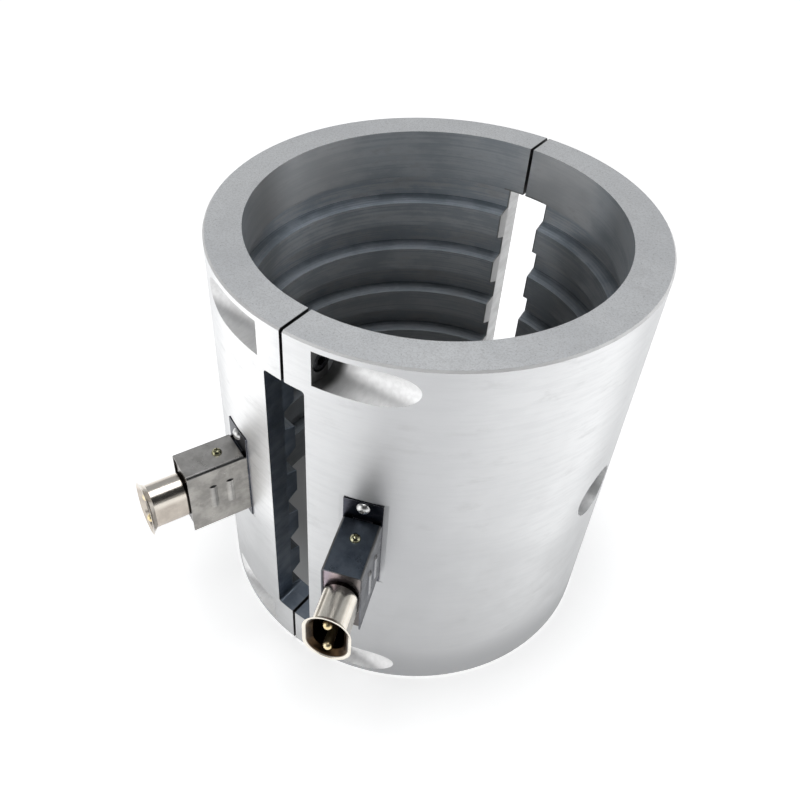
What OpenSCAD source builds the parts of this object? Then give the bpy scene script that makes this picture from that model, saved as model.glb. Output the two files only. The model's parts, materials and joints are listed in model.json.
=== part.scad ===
// Cast aluminium band heater for an extruder barrel.
// Two air-grooved half shells are drawn together by four socket screws and nuts. Each half holds a
// cast-in tubular heating element, whose two ends come out under a small folded terminal box that
// carries a two-pin plug inlet.
//
// The shells stand on one end face. The barrel axis is Z, the joint between the halves is the plane
// x = 0, and the terminal boxes sit either side of its front edge, which faces -Y.

/* [Shells] */
// Bore diameter at the lands that grip the barrel
bore_d = 200; // [160:1:300]
// Wall thickness at the lands
wall = 20; // [19:0.5:32]
// Length of the shells along the barrel
body_h = 252; // [225:1:360]
// Gap left between the two halves when they are clamped
split_gap = 1.6; // [0.8:0.1:4]
// Chamfer on the outer edges of the end faces
edge_chamfer = 1; // [0.2:0.1:2]
// Height of the plain ring at each end
ring_h = 30; // [26:1:40]

/* [Air grooves] */
// Number of lands between the end rings
land_count = 5; // [3:1:6]
// Length of the flat of one land
land_len = 16; // [8:0.5:18]
// Depth of the grooves below the lands
groove_depth = 7.5; // [3:0.25:8]
// Length of the slope between a land and a groove
land_slope = 3; // [1:0.25:4]

/* [Windows and port] */
// How far each half stands back from the joint plane at the windows
window_relief = 12.5; // [6:0.5:16]
// Corner radius of the windows
window_corner = 2; // [0.5:0.25:4]
// Diameter of the round port in the middle of the right half
port_d = 32; // [10:1:36]

/* [Clamp screws] */
// Height of the screw axes above and below the end faces
screw_inset = 14; // [13:0.5:15]
// Distance of the screw and nut seats from the joint plane
seat_offset = 16.5; // [15:0.5:24]
// Radius of the milled screw pockets
pocket_r = 10; // [9:0.25:11]
// Metal left between a pocket and the bore at the seat
pocket_floor = 3; // [2:0.25:4]
// Clamp screw thread diameter
clamp_d = 6; // [5:0.25:6.5]
// Clearance on the radius of the screw holes and of the recesses for heads and nuts
clamp_clear = 0.3; // [0.15:0.05:0.5]
// Washer thickness
washer_t = 1.6; // [0.8:0.1:2]
// How deep a screw head stands below the floor of its pocket
head_below = 0.2; // [0:0.1:1.5]
// How deep a nut stands below the floor of its pocket
nut_below = 2.2; // [0.5:0.1:3]
// How far the clamp screws reach past their nuts
tip_free = 0.4; // [0.2:0.1:1.5]

/* [Heating element] */
// Sheath diameter of the cast-in element
element_d = 6.5; // [5:0.25:8]
// Bend radius of the element along the wall
element_bend = 10; // [8:0.5:12]
// Bend radius where the element turns out of the wall
elbow_r = 8; // [6:0.5:9]
// Height of the outer pair of runs from the terminal centre
outer_run = 68; // [60:1:72]
// Height of the inner pair of runs from the terminal centre
inner_run = 32; // [28:1:38]
// Length of bare sheath outside the flat
sheath_out = 6; // [4:0.5:7]

/* [Terminal boxes] */
// Angle of each box from the front of the joint
terminal_az = 21.2; // [18:0.2:40]
// Height of the right box centre above the lower end face
right_terminal_z = 127; // [114:0.5:138]
// Height of the left box centre above the lower end face
left_terminal_z = 123; // [114:0.5:138]
// Width of the box
box_w = 20.6; // [18.6:0.1:26]
// Height of the box
box_h = 43.5; // [42:0.5:50]
// Reach of the box from its flat on the shell
box_len = 36; // [32:0.5:45]
// Sheet thickness of the bracket
bracket_t = 1; // [0.6:0.1:1.2]
// Sheet thickness of the cover
cover_t = 0.8; // [0.5:0.1:1]
// Outer bend radius of the folded corners
fold_r = 1.6; // [1.3:0.1:2.5]
// Gap between the top of the cover and the bracket flange
cover_gap = 1.5; // [1:0.25:5]
// Recess of the front plate behind the edge of the cover
front_recess = 1; // [0.3:0.1:2]
// Width of the flange on the shell
flange_w = 21; // [20.5:0.25:25]
// Reach of the flange above the box
flange_up = 12.5; // [11:0.5:20]
// Reach of the flange below the box
flange_down = 6.5; // [2:0.5:9]
// Depth of the milled flat under the flange
flat_depth = 0.7; // [0.5:0.05:1.2]
// Length of one vent louvre in the side of the cover
louvre_len = 18; // [8:0.5:24]
// Width of one vent louvre
louvre_w = 4.5; // [3:0.25:5.5]
// How far a louvre stands out of the side
louvre_out = 0.9; // [0.4:0.1:1.2]
// Distance between the two louvres of a side
louvre_pitch = 10; // [7:0.5:12]

/* [Plug inlet] */
// Width of the front plate left beside the plug barrel, on each side
plug_side = 1.5; // [1.4:0.05:2]
// Height of the plug barrel
plug_h = 28; // [25:0.25:32]
// Length of the barrel in front of the front plate
plug_len = 23.5; // [16:0.5:30]
// Thickness of the barrel
plug_t = 1; // [0.6:0.1:1.4]
// Axial length of the flared mouth
flare_len = 3.2; // [1.5:0.1:5]
// How far the mouth flares out on each side
flare_out = 3.4; // [1:0.1:4]
// Diameter of one contact pin
pin_d = 5; // [4:0.25:6]
// Distance between the two contact pins
pin_pitch = 17.8; // [14:0.1:19]

/* [Hidden] */
$fn = 64;

RIGHT = 1;
LEFT = -1;
FRONT = -1;
BACK = 1;
UP = 1;
DOWN = -1;

// Overlap of a cutter past the face it opens
cut = 1;
// Small gap between pieces that seat on each other
seat_gap = 0.1;
// Radial gap between a screw and its thread
thread_gap = 0.06;

// Shell radii
bore_r = bore_d / 2;
groove_r = bore_r + groove_depth;
outer_r = bore_r + wall;

// Lands and grooves share the length between the rings
land_step = land_len + 2 * land_slope;
groove_flat = (body_h - 2 * ring_h - 2 * land_slope - land_count * land_step) / (land_count + 1);

// Clamp screws
bore_at_seat = sqrt(pow(bore_r, 2) - pow(seat_offset, 2));
screw_y = bore_at_seat + pocket_floor + pocket_r;
clamp_head_d = 5 / 3 * clamp_d;
clamp_head_h = clamp_d;
clamp_key = 5 / 6 * clamp_d;
clamp_nut_af = 5 / 3 * clamp_d;
clamp_nut_h = 5 / 6 * clamp_d;
washer_d = 11 / 6 * clamp_d;
head_x = seat_offset - head_below - clamp_head_h;
washer_x = head_x - seat_gap - washer_t;
head_floor = washer_x - seat_gap;
clamp_nut_x = seat_offset - nut_below - clamp_nut_h;
nut_floor = clamp_nut_x - seat_gap;
clamp_len = head_x + clamp_nut_x + clamp_nut_h + tip_free;

// Element route, in the middle of the metal outside the grooves
element_r = (groove_r + outer_r) / 2;
element_gap = 0.1;
// The runs are drawn a hair thinner than the bends and reach into them
joint_step = 0.05;
joint_lap = 0.5;
bend_az = atan(element_bend / element_r);
near_riser = terminal_az + 27.5;
inner_riser = near_riser + 11;
far_riser = 163;
elbow_az = asin(elbow_r / (element_r + elbow_r));
elbow_end = (element_r + elbow_r) * cos(elbow_az);

// Stations outwards from the barrel axis along a terminal box
flat_x = outer_r - flat_depth;
flat_w = 2 * sqrt(pow(outer_r, 2) - pow(flat_x, 2)) + 2 * cut;
plate_x = flat_x + bracket_t;
sheath_x = flat_x + sheath_out;
box_x = flat_x + box_len;
front_x = box_x - front_recess;
mouth_x = front_x + plug_len;

// Box section
cover_top = box_h / 2;
inner_w = box_w - 2 * cover_t - 2 * seat_gap;
tab_top = cover_top - cover_t - seat_gap;
tab_w = 10;
tab_len = 20;
cover_screw_in = 14;
cover_screw_x = flat_x + cover_screw_in;
cover_screw_d = 3;
cover_head_d = 5.8;
cover_head_h = 2.3;
cover_screw_len = 3.4;
flange_screw_up = 8;
flange_screw_z = cover_top + flange_screw_up;
flange_screw_d = 4;
flange_head_d = 7.2;
flange_head_h = 2.4;
flange_key = 2.5;
flange_screw_len = 8;
louvre_in = 12;
louvre_x = flat_x + louvre_in;
slot_w = 0.8;

// Connections inside the box
outlet_inset = 7.75;
outlet_run = cover_top - outlet_inset;
stud_d = 4;
stud_free = 6.5;
stud_socket = 3;
bead_h = 4;
bead_wall = 1.4;
bead_x = sheath_x + seat_gap;
link_t = 1;
link_w = 7;
link_x = bead_x + bead_h + seat_gap;
arm_lap = 0.6;
nut_h = 3.2;
nut_af = 7;
nut_x = link_x + link_t + seat_gap;
stud_end = nut_x + nut_h + stud_free;

// Plug inlet
plug_w = box_w - 2 * plug_side;
plug_flat = plug_h - plug_w;
insert_out = 5;
insert_in = 6;
insert_front = front_x + insert_out;
insert_back = front_x - insert_in;
plug_base_t = 1.2;
plug_base_rim = 2.5;
plug_base_h = plug_h + 2 * plug_base_rim;
pin_tail = 3;
tail_d = 0.8 * pin_d;
pin_z = pin_pitch / 2;
// The arms of the links meet the inner edges of the pin tails, clear of the nuts
arm_top = pin_z - tail_d / 2 + arm_lap;
earth_t = 0.6;
earth_w = 5;
earth_len = 12;

// Colours
aluminium = [0.80, 0.81, 0.82];
stainless = [0.62, 0.61, 0.60];
dark_steel = [0.22, 0.23, 0.25];
zinc = [0.72, 0.72, 0.70];
nickel = [0.78, 0.74, 0.68];
brass = [0.80, 0.66, 0.36];
ceramic = [0.90, 0.87, 0.80];
black_ceramic = [0.08, 0.07, 0.07];
sheath = [0.50, 0.46, 0.42];

function terminal_z(side) = side == RIGHT ? right_terminal_z : left_terminal_z;

// Helpers

// Puts a right-hand piece on the chosen side
module on_side(side) {
    if (side == LEFT) mirror([1, 0, 0]) children();
    else children();
}

// Frame of a terminal box: X outwards from the barrel axis, Y along the wall away from the joint
module at_terminal(side) {
    on_side(side) translate([0, 0, terminal_z(side)]) rotate([0, 0, terminal_az - 90]) children();
}

// Cylinder along X from x0 to x1
module rod_x(x0, x1, d) {
    translate([x0, 0, 0]) rotate([0, 90, 0]) cylinder(d = d, h = x1 - x0);
}

// Cone along X from x0 to x1
module cone_x(x0, x1, d0, d1) {
    translate([x0, 0, 0]) rotate([0, 90, 0]) cylinder(d1 = d0, d2 = d1, h = x1 - x0);
}

// Hexagonal bar along X, given across its flats
module hex_x(x0, x1, af) {
    translate([x0, 0, 0]) rotate([0, 90, 0]) cylinder(d = af / cos(30), h = x1 - x0, $fn = 6);
}

// Block from x0 to x1, centred on Y, from z0 to z1
module slab(x0, x1, w, z0, z1) {
    translate([x0, -w / 2, z0]) cube([x1 - x0, w, z1 - z0]);
}

// Solid dome that stands on z = 0
module dome(d, h) {
    r = (pow(d / 2, 2) + pow(h, 2)) / (2 * h);
    rotate_extrude() intersection() {
        translate([0, h - r]) circle(r = r);
        square([d / 2, h]);
    }
}

// Rectangle with round corners, centred
module round_rect(w, h, r) {
    square([w - 2 * r, h], center = true);
    square([w, h - 2 * r], center = true);
    for (sx = [-1, 1], sy = [-1, 1])
        translate([sx * (w / 2 - r), sy * (h / 2 - r)]) circle(r = r);
}

// Upright flat-sided oval that grows from width w0 to width w1 between x0 and x1
module oval_x(x0, x1, w0, w1, flat) {
    for (s = [-1, 1]) translate([0, 0, s * flat / 2]) cone_x(x0, x1, w0, w1);
    translate([0, 0, -flat / 2]) linear_extrude(flat)
        polygon([[x0, -w0 / 2], [x1, -w1 / 2], [x1, w1 / 2], [x0, w0 / 2]]);
}

// Upright flat-sided oval tube along X, with a wall outline given as [x, distance from the axis]
module oval_tube_x(outline, flat) {
    for (s = [-1, 1]) {
        translate([0, 0, s * flat / 2]) rotate([0, 90, 0]) rotate([0, 0, s * 90])
            rotate_extrude(angle = 180) polygon([for (p = outline) [p[1], p[0]]]);
        translate([0, 0, -flat / 2]) linear_extrude(flat) polygon([for (p = outline) [p[0], s * p[1]]]);
    }
}

// Shells

// Lower end of the rise to land i
function land_z(i) = ring_h + land_slope + groove_flat + i * (land_step + groove_flat);

// Wall section, radius against height
module shell_section() {
    inner = [
        [bore_r, 0],
        [bore_r, ring_h],
        [groove_r, ring_h + land_slope],
        for (i = [0 : land_count - 1])
            each [
                [groove_r, land_z(i)],
                [bore_r, land_z(i) + land_slope],
                [bore_r, land_z(i) + land_slope + land_len],
                [groove_r, land_z(i) + land_step]
            ],
        [groove_r, body_h - ring_h - land_slope],
        [bore_r, body_h - ring_h],
        [bore_r, body_h]
    ];
    outer = [
        [outer_r - edge_chamfer, body_h],
        [outer_r, body_h - edge_chamfer],
        [outer_r, edge_chamfer],
        [outer_r - edge_chamfer, 0]
    ];
    polygon(concat(inner, outer));
}

// Air window across the joint, front and back
module window_cut() {
    translate([0, 0, body_h / 2]) rotate([90, 0, 0])
        linear_extrude(2 * (outer_r + cut), center = true)
            round_rect(2 * window_relief, body_h - 2 * ring_h, window_corner);
}

// Screw hole from the joint, the pocket milled in from the outside, and the recess in its floor:
// round for the heads on the right, hexagonal for the nuts on the left
module clamp_cut(side) {
    rod_x(-cut, seat_offset + cut, clamp_d + 2 * clamp_clear);
    if (side == RIGHT) rod_x(head_floor, seat_offset + cut, washer_d + 2 * clamp_clear);
    else hex_x(nut_floor, seat_offset + cut, clamp_nut_af + 2 * seat_gap);
    rod_x(seat_offset, outer_r, 2 * pocket_r);
    translate([seat_offset, 0, -pocket_r]) cube([outer_r - seat_offset, outer_r, 2 * pocket_r]);
}

// The four screw places of a half, with Y outwards at each
module at_clamps() {
    for (end = [FRONT, BACK], z = [screw_inset, body_h - screw_inset])
        translate([0, end * screw_y, z]) mirror([0, end == FRONT ? 1 : 0, 0]) children();
}

// Milled flat and tapped hole for the terminal bracket
module terminal_cut(side) {
    at_terminal(side) {
        slab(flat_x, outer_r + cut, flat_w, -cover_top - flange_down - cut, cover_top + flange_up + cut);
        translate([0, 0, flange_screw_z])
            rod_x(plate_x - flange_screw_len - cut, outer_r, flange_screw_d + 2 * thread_gap);
    }
}

module half_shell(side) {
    color(aluminium) difference() {
        rotate_extrude($fn = 180) shell_section();
        on_side(side) {
            translate([split_gap / 2 - 2 * outer_r, -2 * outer_r, -cut])
                cube([2 * outer_r, 4 * outer_r, body_h + 2 * cut]);
            at_clamps() clamp_cut(side);
        }
        window_cut();
        terminal_cut(side);
        element_path(side, element_d + 2 * element_gap, outer_r + cut);
    }
}

module port_cut() {
    translate([0, 0, body_h / 2]) rod_x(groove_r - wall, outer_r + cut, port_d);
}

module right_half() {
    color(aluminium) difference() {
        half_shell(RIGHT);
        port_cut();
    }
}

// Heating element

// Level run on the element's radius between two angles, reaching a little into the bends
module level_run(z, a0, a1, d) {
    lap_az = atan(joint_lap / element_r);
    translate([0, 0, z]) rotate([0, 0, a0 - lap_az - 90])
        rotate_extrude(angle = a1 - a0 + 2 * lap_az, $fn = 180)
            translate([element_r, 0]) circle(d = d - 2 * joint_step, $fn = 32);
}

// Quarter bend from the end of a level run at angle a into a riser: way is +1 when the run
// arrives from smaller angles, turn is UP or DOWN
module run_bend(z, a, way, turn, d) {
    rotate([0, 0, a - 90]) translate([element_r, 0, z])
        mirror([0, way < 0 ? 1 : 0, 0]) mirror([0, 0, turn == DOWN ? 1 : 0])
            translate([0, 0, element_bend]) rotate([0, 90, 0])
                rotate_extrude(angle = 90) translate([element_bend, 0]) circle(d = d, $fn = 32);
}

// Upright stretch at angle a between two bends
module riser(a, z0, z1, d) {
    reach = element_r / cos(bend_az);
    rotate([0, 0, a - 90]) translate([reach, 0, z0 - joint_lap])
        cylinder(d = d - 2 * joint_step, h = z1 - z0 + 2 * joint_lap, $fn = 32);
}

// Elbow and stub that bring a run out through the flat
module outlet(z, d, stub_x) {
    translate([0, 0, z]) {
        rotate([0, 0, terminal_az + elbow_az - 90]) translate([element_r + elbow_r, 0, 0])
            rotate([0, 0, 180]) rotate_extrude(angle = 90 - elbow_az)
                translate([elbow_r, 0]) circle(d = d, $fn = 32);
        rotate([0, 0, terminal_az - 90]) rod_x(elbow_end - joint_lap, stub_x, d - 2 * joint_step);
    }
}

// One half of the loop, from its outlet to the middle of the inner riser
module element_branch(turn, d, stub_x) {
    out_z = turn * outlet_run;
    far_z = turn * outer_run;
    mid_z = turn * inner_run;
    bend = turn * element_bend;
    outlet(out_z, d, stub_x);
    level_run(out_z, terminal_az + elbow_az, near_riser - bend_az, d);
    run_bend(out_z, near_riser - bend_az, 1, turn, d);
    riser(near_riser, min(out_z + bend, far_z - bend), max(out_z + bend, far_z - bend), d);
    run_bend(far_z, near_riser + bend_az, -1, -turn, d);
    level_run(far_z, near_riser + bend_az, far_riser - bend_az, d);
    run_bend(far_z, far_riser - bend_az, 1, -turn, d);
    riser(far_riser, min(far_z - bend, mid_z + bend), max(far_z - bend, mid_z + bend), d);
    run_bend(mid_z, far_riser - bend_az, 1, turn, d);
    level_run(mid_z, inner_riser + bend_az, far_riser - bend_az, d);
    run_bend(mid_z, inner_riser + bend_az, -1, -turn, d);
}

// Whole loop of one half, with its ends at stub_x
module element_path(side, d, stub_x) {
    on_side(side) translate([0, 0, terminal_z(side)]) {
        for (turn = [UP, DOWN]) element_branch(turn, d, stub_x);
        riser(inner_riser, element_bend - inner_run, inner_run - element_bend, d);
    }
}

// Sheath with a socket in each end for its stud
module element(side) {
    color(sheath) difference() {
        element_path(side, element_d, sheath_x);
        at_terminal(side) for (s = [-1, 1]) translate([0, 0, s * outlet_run])
            rod_x(sheath_x - stud_socket, sheath_x + cut, stud_d + 2 * seat_gap);
    }
}

// Connections: s is +1 for the upper one and -1 for the lower one

module stud(side, s) {
    color(zinc) at_terminal(side) translate([0, 0, s * outlet_run])
        rod_x(sheath_x - stud_socket + seat_gap, stud_end, stud_d);
}

module bead(side, s) {
    color(ceramic) at_terminal(side) translate([0, 0, s * outlet_run]) difference() {
        rod_x(bead_x, bead_x + bead_h, stud_d + 2 * seat_gap + 2 * bead_wall);
        rod_x(bead_x - cut, bead_x + bead_h + cut, stud_d + 2 * seat_gap);
    }
}

// Flat strip that joins a stud to the tail of a contact pin
module link(side, s) {
    color(nickel) at_terminal(side) mirror([0, 0, s == DOWN ? 1 : 0]) difference() {
        union() {
            slab(link_x, link_x + link_t, link_w, arm_top - link_t, outlet_run + link_w / 2);
            slab(link_x, insert_back - pin_tail - seat_gap, stud_d, arm_top - link_t, arm_top);
        }
        translate([0, 0, outlet_run]) rod_x(link_x - cut, link_x + link_t + cut, stud_d + 2 * seat_gap);
    }
}

module stud_nut(side, s) {
    color(zinc) at_terminal(side) translate([0, 0, s * outlet_run]) difference() {
        hex_x(nut_x, nut_x + nut_h, nut_af);
        rod_x(nut_x - cut, nut_x + nut_h + cut, stud_d + 2 * thread_gap);
    }
}

// Terminal box

// Quarter ring in the first quadrant
module fold_corner(t) {
    intersection() {
        difference() {
            circle(r = fold_r);
            circle(r = fold_r - t);
        }
        square(fold_r + cut);
    }
}

// Side view of the bracket: flange and back plate, floor and front plate in one strip
module bracket_profile() {
    foot = -cover_top;
    rise = foot + fold_r;
    translate([flat_x, foot - flange_down]) square([bracket_t, box_h + flange_down + flange_up]);
    translate([flat_x, foot]) square([front_x - flat_x - fold_r, bracket_t]);
    translate([front_x - fold_r, rise]) mirror([0, 1]) fold_corner(bracket_t);
    translate([front_x - bracket_t, rise]) square([bracket_t, tab_top - rise]);
}

// Folded bracket with the cover tab lanced out of its back plate
module bracket(side) {
    window_top = tab_top - bracket_t;
    corner_cut = sqrt(2) * (fold_r - cover_t);
    hole_w = plug_w + 2 * seat_gap;
    color(stainless) at_terminal(side) difference() {
        union() {
            rotate([90, 0, 0]) linear_extrude(inner_w, center = true) bracket_profile();
            slab(flat_x, plate_x, flange_w, -cover_top - flange_down, cover_top + flange_up);
            slab(flat_x, flat_x + tab_len, tab_w, window_top, tab_top);
        }
        slab(flat_x - cut, plate_x + cut, tab_w, window_top - tab_len, window_top);
        slab(flat_x - cut, plate_x + cut, tab_w, -outlet_run - tab_w / 2, -outlet_run + tab_w / 2);
        translate([cover_screw_x, 0, 0]) cylinder(d = cover_screw_d + 2 * thread_gap, h = cover_top + cut);
        translate([0, 0, flange_screw_z]) rod_x(flat_x - cut, plate_x + cut, flange_screw_d + 2 * seat_gap);
        oval_x(front_x - bracket_t - cut, front_x + cut, hole_w, hole_w, plug_flat);
        for (s = [-1, 1]) translate([front_x, s * inner_w / 2, tab_top]) rotate([45, 0, 0])
            cube([2 * bracket_t + cut, corner_cut, corner_cut], center = true);
    }
}

// End view of the cover: roof and two sides
module cover_profile() {
    side_h = box_h - fold_r;
    for (s = [0, 1]) mirror([s, 0]) {
        translate([box_w / 2 - cover_t, -box_h / 2]) square([cover_t, side_h]);
        translate([box_w / 2 - fold_r, box_h / 2 - fold_r]) fold_corner(cover_t);
    }
    translate([-box_w / 2 + fold_r, box_h / 2 - cover_t]) square([box_w - 2 * fold_r, cover_t]);
}

// Upright half-round louvre with sloped ends, grown by grow on every side
module louvre_form(grow) {
    r = (pow(louvre_w / 2, 2) + pow(louvre_out, 2)) / (2 * louvre_out) + grow;
    end = louvre_out + grow;
    centre = box_w / 2 + louvre_out + grow - r;
    body = louvre_len / 2 - louvre_out;
    translate([0, centre, 0]) {
        translate([0, 0, -body]) cylinder(r = r, h = 2 * body);
        for (s = [0, 1]) mirror([0, 0, s]) translate([0, 0, body]) cylinder(r1 = r, r2 = r - end, h = end);
    }
}

module cover(side) {
    color(stainless) at_terminal(side) difference() {
        union() {
            translate([plate_x + seat_gap, 0, 0]) rotate([90, 0, 90])
                linear_extrude(box_x - plate_x - seat_gap) cover_profile();
            intersection() {
                for (s = [0, 1], x = [0, louvre_pitch]) mirror([0, s, 0])
                    translate([louvre_x + x, 0, 0]) louvre_form(0);
                difference() {
                    slab(plate_x, box_x, box_w + 4 * louvre_out, -box_h / 2, box_h / 2);
                    slab(plate_x - cut, box_x + cut, box_w - cover_t, -box_h, box_h);
                }
            }
        }
        for (s = [0, 1], x = [0, louvre_pitch]) mirror([0, s, 0]) intersection() {
            translate([louvre_x + x, 0, 0]) louvre_form(-cover_t / 2);
            translate([plate_x, box_w / 2 - 2 * cover_t, -box_h / 2]) cube([box_len, box_w, box_h]);
        }
        slab(plate_x, plate_x + cover_gap, box_w + cut, cover_top - fold_r, cover_top + cut);
        translate([cover_screw_x, 0, 0]) cylinder(d = cover_screw_d + 4 * seat_gap, h = box_h);
    }
}

// Domed screw with a cross slot, head seat at z = 0, shank downwards
module cover_screw(side) {
    slot = cover_head_d / 2;
    color(brass) at_terminal(side) translate([cover_screw_x, 0, cover_top + seat_gap]) difference() {
        union() {
            dome(cover_head_d, cover_head_h);
            translate([0, 0, -cover_screw_len]) cylinder(d = cover_screw_d, h = cover_screw_len + cut);
        }
        for (a = [0, 90]) rotate([0, 0, a + 30])
            translate([-slot / 2, -slot_w / 2, cover_head_h / 2]) cube([slot, slot_w, cover_head_h]);
    }
}

// Button screw with a hexagon socket that holds the bracket flange to the shell
module flange_screw(side) {
    seat = plate_x + seat_gap;
    color(zinc) at_terminal(side) translate([0, 0, flange_screw_z]) difference() {
        union() {
            translate([seat, 0, 0]) rotate([0, 90, 0]) dome(flange_head_d, flange_head_h);
            rod_x(plate_x - flange_screw_len, seat + cut, flange_screw_d);
        }
        hex_x(seat + flange_head_h / 3, seat + flange_head_h + cut, flange_key);
    }
}

// Plug inlet

// Flared barrel with a base that is welded behind the front plate
module plug_shell(side) {
    base_x = front_x - bracket_t - seat_gap;
    back_x = base_x - plug_base_t;
    neck_x = mouth_x - flare_len;
    curl_x = mouth_x - flare_len / 3;
    neck_r = plug_w / 2;
    curl_r = neck_r + flare_out / 2;
    lip_r = neck_r + flare_out;
    outside = [[back_x, neck_r], [neck_x, neck_r], [curl_x, curl_r], [mouth_x, lip_r]];
    inside = [for (i = [3:-1:0]) outside[i] - [0, plug_t]];
    hole_w = plug_w - plug_t;
    color(nickel) at_terminal(side) {
        oval_tube_x(concat(outside, inside), plug_flat);
        difference() {
            slab(back_x, base_x, inner_w - 2 * seat_gap, -plug_base_h / 2, plug_base_h / 2);
            oval_x(back_x - cut, base_x + cut, hole_w, hole_w, plug_flat);
        }
    }
}

// Ceramic insert that carries the pins
module plug_insert(side) {
    w = plug_w - 2 * plug_t - 2 * seat_gap;
    color(black_ceramic) at_terminal(side) difference() {
        oval_x(insert_back, insert_front, w, w, plug_flat);
        for (s = [-1, 1]) translate([0, 0, s * pin_z])
            rod_x(insert_back - cut, insert_front + cut, tail_d + 2 * seat_gap);
        translate([insert_back - cut, w / 2 - earth_t - 2 * seat_gap, -earth_w / 2 - seat_gap])
            cube([insert_front - insert_back + 2 * cut, w, earth_w + 2 * seat_gap]);
    }
}

// Round-nosed contact pin, with a thinner tail from its shoulder through the insert
module pin(side, s) {
    nose = pin_d / 2;
    shoulder = insert_front + seat_gap;
    body = mouth_x - shoulder - nose;
    color(brass) at_terminal(side) translate([0, 0, s * pin_z]) {
        rod_x(insert_back - pin_tail, shoulder + cut, tail_d);
        translate([shoulder, 0, 0]) rotate([0, 90, 0]) rotate_extrude() intersection() {
            union() {
                square([nose, body]);
                translate([0, body]) circle(r = nose);
            }
            square([nose, body + nose + cut]);
        }
    }
}

// Sprung earth strip along one flat of the barrel
module earth_strip(side) {
    inner = plug_w / 2 - plug_t - seat_gap;
    color(zinc) at_terminal(side) translate([insert_back, inner - earth_t, -earth_w / 2])
        cube([insert_front - insert_back + earth_len, earth_t, earth_w]);
}

// Clamp fasteners

module at_clamp(end, z) {
    translate([0, end * screw_y, z]) children();
}

module clamp_screw(end, z) {
    tip_x = head_x - clamp_len;
    top_x = head_x + clamp_head_h;
    chamfer = clamp_d / 10;
    color(dark_steel) at_clamp(end, z) difference() {
        union() {
            rod_x(head_x, top_x - chamfer, clamp_head_d);
            cone_x(top_x - chamfer, top_x, clamp_head_d, clamp_head_d - 2 * chamfer);
            rod_x(tip_x + chamfer, head_x + cut, clamp_d);
            cone_x(tip_x, tip_x + chamfer, clamp_d - 2 * chamfer, clamp_d);
        }
        hex_x(head_x + clamp_head_h / 2, top_x + cut, clamp_key);
    }
}

module clamp_washer(end, z) {
    color(zinc) at_clamp(end, z) difference() {
        rod_x(washer_x, washer_x + washer_t, washer_d);
        rod_x(washer_x - cut, washer_x + washer_t + cut, clamp_d + clamp_clear);
    }
}

module clamp_nut(end, z) {
    start = -clamp_nut_x - clamp_nut_h;
    color(zinc) at_clamp(end, z) difference() {
        hex_x(start, -clamp_nut_x, clamp_nut_af);
        rod_x(start - cut, cut - clamp_nut_x, clamp_d + 2 * thread_gap);
    }
}

top_z = body_h - screw_inset;
bottom_z = screw_inset;

right_half();
half_shell(LEFT);  // left_half
element(RIGHT);  // right_element
element(LEFT);  // left_element
stud(RIGHT, UP);  // right_upper_stud
stud(RIGHT, DOWN);  // right_lower_stud
stud(LEFT, UP);  // left_upper_stud
stud(LEFT, DOWN);  // left_lower_stud
bead(RIGHT, UP);  // right_upper_bead
bead(RIGHT, DOWN);  // right_lower_bead
bead(LEFT, UP);  // left_upper_bead
bead(LEFT, DOWN);  // left_lower_bead
link(RIGHT, UP);  // right_upper_link
link(RIGHT, DOWN);  // right_lower_link
link(LEFT, UP);  // left_upper_link
link(LEFT, DOWN);  // left_lower_link
stud_nut(RIGHT, UP);  // right_upper_nut
stud_nut(RIGHT, DOWN);  // right_lower_nut
stud_nut(LEFT, UP);  // left_upper_nut
stud_nut(LEFT, DOWN);  // left_lower_nut
bracket(RIGHT);  // right_bracket
bracket(LEFT);  // left_bracket
cover(RIGHT);  // right_cover
cover(LEFT);  // left_cover
cover_screw(RIGHT);  // right_cover_screw
cover_screw(LEFT);  // left_cover_screw
flange_screw(RIGHT);  // right_flange_screw
flange_screw(LEFT);  // left_flange_screw
plug_shell(RIGHT);  // right_plug_shell
plug_shell(LEFT);  // left_plug_shell
plug_insert(RIGHT);  // right_plug_insert
plug_insert(LEFT);  // left_plug_insert
pin(RIGHT, UP);  // right_upper_pin
pin(RIGHT, DOWN);  // right_lower_pin
pin(LEFT, UP);  // left_upper_pin
pin(LEFT, DOWN);  // left_lower_pin
earth_strip(RIGHT);  // right_earth_strip
earth_strip(LEFT);  // left_earth_strip
clamp_screw(FRONT, top_z);  // front_top_screw
clamp_screw(FRONT, bottom_z);  // front_bottom_screw
clamp_screw(BACK, top_z);  // back_top_screw
clamp_screw(BACK, bottom_z);  // back_bottom_screw
clamp_washer(FRONT, top_z);  // front_top_washer
clamp_washer(FRONT, bottom_z);  // front_bottom_washer
clamp_washer(BACK, top_z);  // back_top_washer
clamp_washer(BACK, bottom_z);  // back_bottom_washer
clamp_nut(FRONT, top_z);  // front_top_nut
clamp_nut(FRONT, bottom_z);  // front_bottom_nut
clamp_nut(BACK, top_z);  // back_top_nut
clamp_nut(BACK, bottom_z);  // back_bottom_nut
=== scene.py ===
"""Looks of the cast aluminium band heater: finishes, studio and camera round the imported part."""

import json
import math
from types import SimpleNamespace

import bpy
from mathutils import Matrix, Vector


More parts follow.
